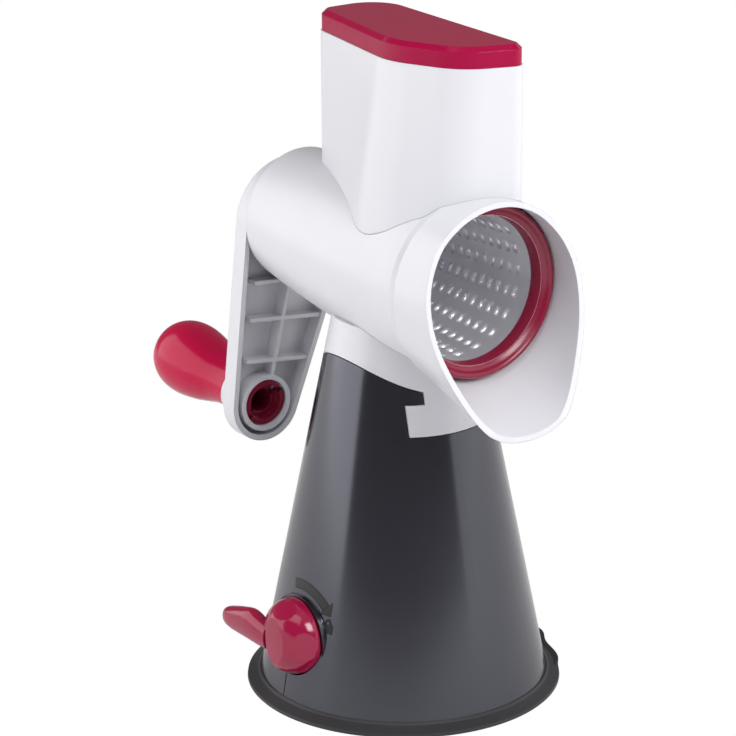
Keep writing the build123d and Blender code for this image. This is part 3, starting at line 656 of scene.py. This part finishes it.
def placeCamera():
    az, el, roll = (math.radians(studio[k]) for k in ("azimuth", "elevation", "roll"))
    back = Vector((math.cos(el) * math.cos(az), math.cos(el) * math.sin(az), math.sin(el)))
    right = Vector((-math.sin(az), math.cos(az), 0))
    up = back.cross(right)
    turnedRight = right * math.cos(roll) + up * math.sin(roll)
    turnedUp = up * math.cos(roll) - right * math.sin(roll)
    data = bpy.data.cameras.new("camera")
    data.lens = studio["lens"]
    data.sensor_width = 36
    data.clip_end = 20
    camera = bpy.data.objects.new("camera", data)
    bpy.context.scene.collection.objects.link(camera)
    turn = Matrix((turnedRight, turnedUp, back)).transposed()
    camera.matrix_world = Matrix.Translation(Vector(studio["aim"]) + back * studio["distance"]) @ turn.to_4x4()
    bpy.context.scene.camera = camera


placeCamera()


def addLamp(name, place, target, size, watts):
    data = bpy.data.lights.new(name, "AREA")
    data.shape = "RECTANGLE"
    data.size, data.size_y = size
    data.energy = watts
    lamp = bpy.data.objects.new(name, data)
    lamp.location = place
    lamp.rotation_euler = (Vector(target) - Vector(place)).to_track_quat("-Z", "Y").to_euler()
    bpy.context.scene.collection.objects.link(lamp)


# a lamp at an angle to the right of the camera's direction, at a height over the horizon
def addStudioLamp(name, side, height, away, size, watts):
    az = math.radians(studio["azimuth"] + side)
    el = math.radians(height)
    target = Vector((0, 0, 0.13))
    towards = Vector((math.cos(el) * math.cos(az), math.cos(el) * math.sin(az), math.sin(el)))
    addLamp(name, target + towards * away, target, size, watts)


# wide soft boxes left and right make the bands on the stand, and the front stays dark between them
addStudioLamp("keyBox", -25, 58, 1.5, (0.9, 0.9), 5)
addStudioLamp("leftBox", -92, 14, 1.1, (1.5, 1.3), 13.5)
addStudioLamp("rightBox", 98, 14, 1.1, (1.9, 1.3), 9)
addStudioLamp("topBox", 10, 78, 1.5, (1.3, 1.3), 1.5)
addStudioLamp("mouthBox", 38, 34, 1.2, (0.5, 0.5), 10)


# 1 where the camera looks straight at the white or through a clear piece, 0 elsewhere
def pureWhiteToCamera(tree):
    path = addNode(tree, "ShaderNodeLightPath")
    seen = addNode(tree, "ShaderNodeMath", {"operation": "MAXIMUM"})
    tree.links.new(path.outputs["Is Camera Ray"], seen.inputs[0])
    tree.links.new(path.outputs["Is Transmission Ray"], seen.inputs[1])
    return seen


world = bpy.data.worlds.new("world")
bpy.context.scene.world = world
world.use_nodes = True
worldTree = world.node_tree
worldTree.nodes.clear()
seen = pureWhiteToCamera(worldTree)
soft = addNode(worldTree, "ShaderNodeBackground", {"Strength": studio["worldLight"]})
soft.inputs["Color"].default_value = (1, 1, 1, 1)
plainWhite = addNode(worldTree, "ShaderNodeBackground", {"Strength": 1.0})
plainWhite.inputs["Color"].default_value = (1, 1, 1, 1)
worldMix = addNode(worldTree, "ShaderNodeMixShader")
worldTree.links.new(seen.outputs[0], worldMix.inputs[0])
worldTree.links.new(soft.outputs[0], worldMix.inputs[1])
worldTree.links.new(plainWhite.outputs[0], worldMix.inputs[2])
addNode(worldTree, "ShaderNodeOutputWorld", {}, {"Surface": worldMix.outputs[0]})


def makeFloor():
    deselectAll()
    bpy.ops.mesh.primitive_plane_add(size=6, location=(0, 0, -0.0002))
    floor = bpy.context.object
    floor.name = "floor"
    material, tree = newMaterial("whitePaperFloor")
    shader = addNode(tree, "ShaderNodeBsdfPrincipled", {"Base Color": hexToLinear("#F4F4F4"), "Roughness": 0.9})
    glow = addNode(tree, "ShaderNodeEmission", {"Strength": 1.0})
    seenHere = pureWhiteToCamera(tree)
    mixed = addNode(tree, "ShaderNodeMixShader")
    tree.links.new(seenHere.outputs[0], mixed.inputs[0])
    tree.links.new(shader.outputs[0], mixed.inputs[1])
    tree.links.new(glow.outputs[0], mixed.inputs[2])
    addNode(tree, "ShaderNodeOutputMaterial", {}, {"Surface": mixed.outputs[0]})
    floor.data.materials.append(material)


makeFloor()

bpy.context.scene.view_settings.view_transform = "Standard"
